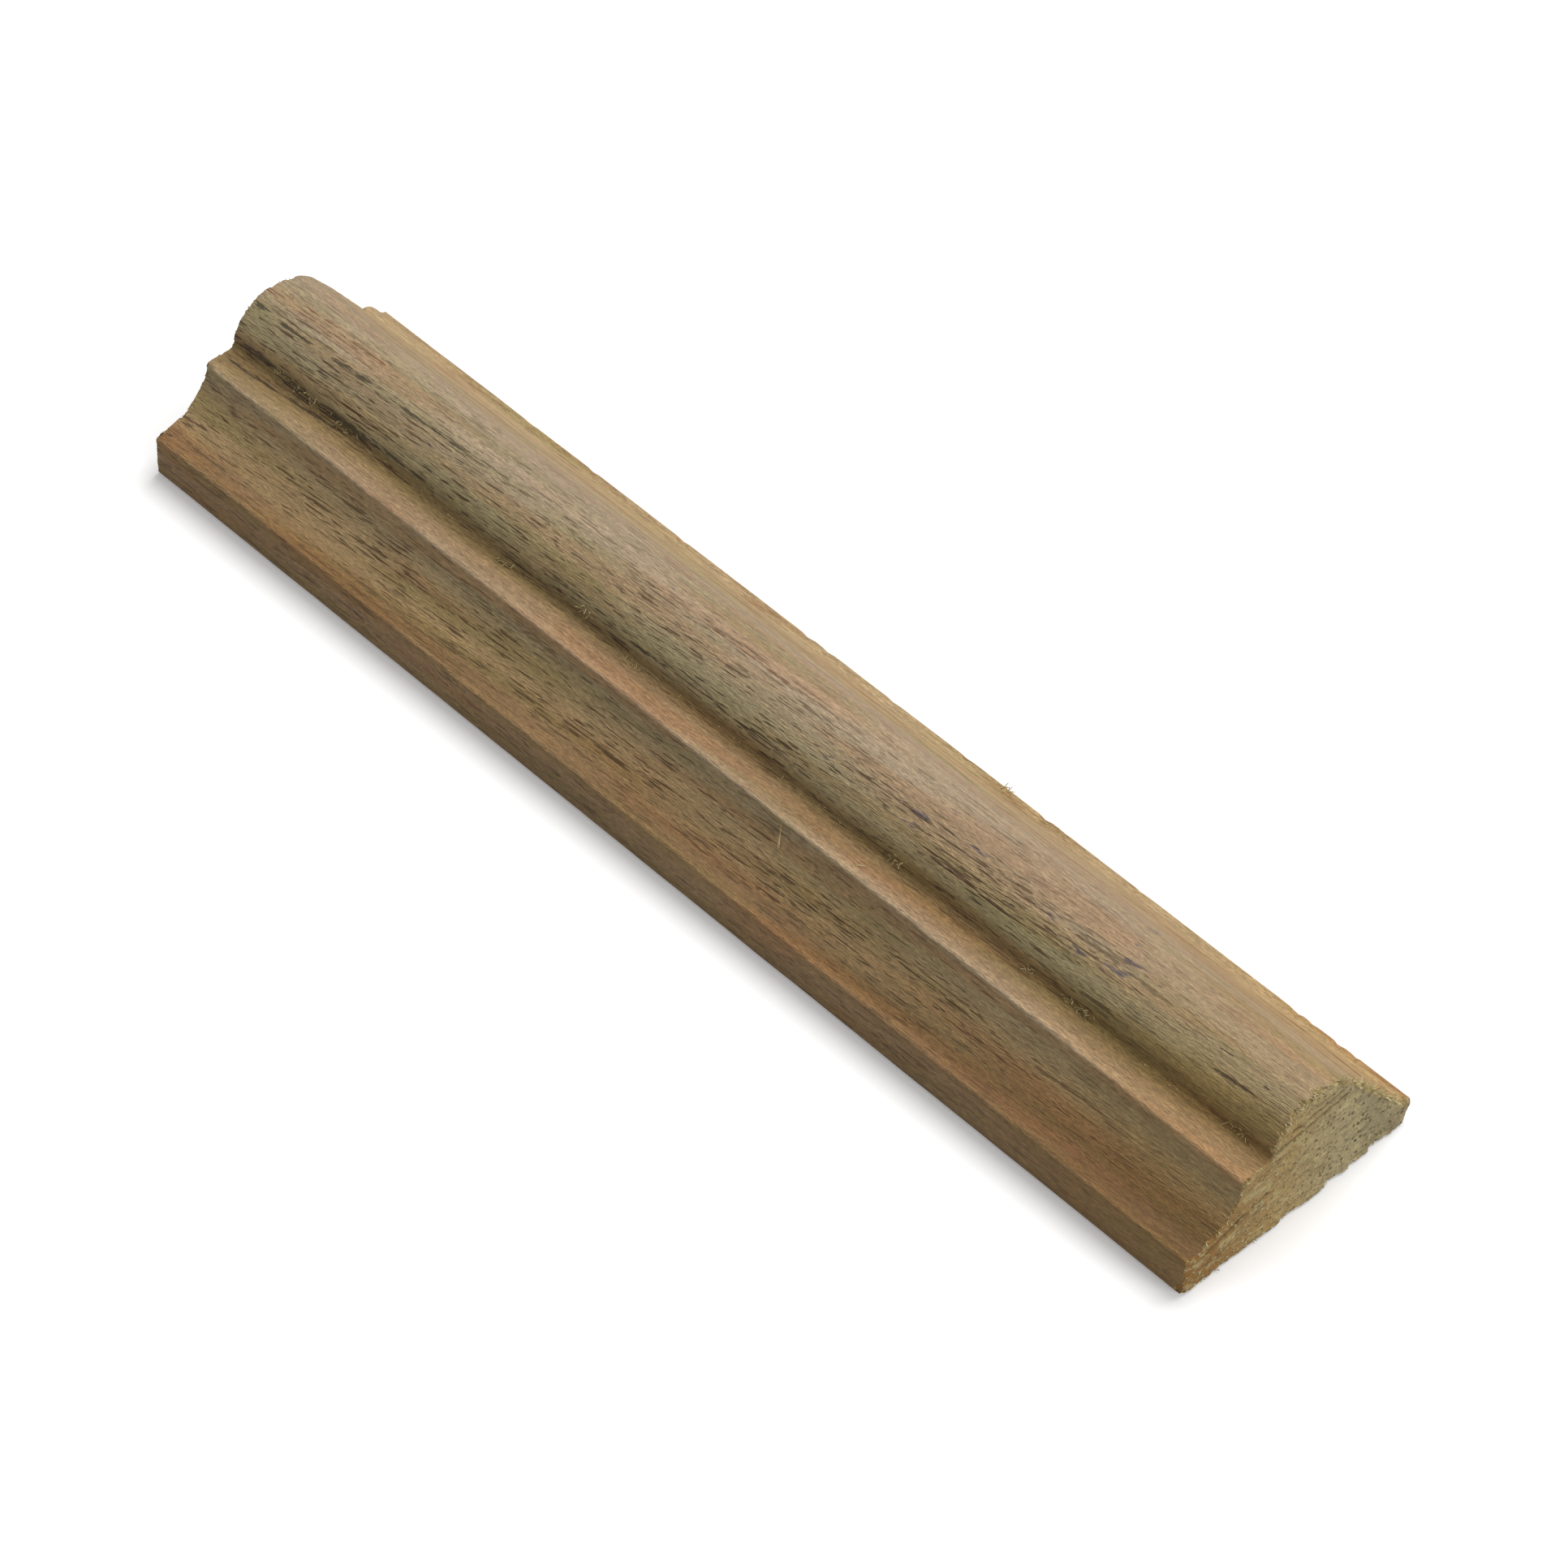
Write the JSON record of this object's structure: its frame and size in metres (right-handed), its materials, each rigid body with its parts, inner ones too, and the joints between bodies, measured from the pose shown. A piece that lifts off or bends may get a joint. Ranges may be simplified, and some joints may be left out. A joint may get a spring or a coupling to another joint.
{
  "type": "wall moulding",
  "caption": "Short sawn length of raw hardwood wall moulding with a cove, a flat fillet, a round bead and a long back bevel along its face.",
  "frame": {"origin": "centre of the flat back that goes against the wall", "axes": "+X along the length and the grain, +Y across the back towards the thin edge, +Z out of the wall through the moulded face"},
  "size_m": [0.203, 0.045, 0.023],
  "materials": {
    "raw_hardwood": "raw, machined, open-pored, unsealed"
  },
  "bodies": {
    "root": {"moulding": "raw_hardwood"}
  },
  "joints": []
}
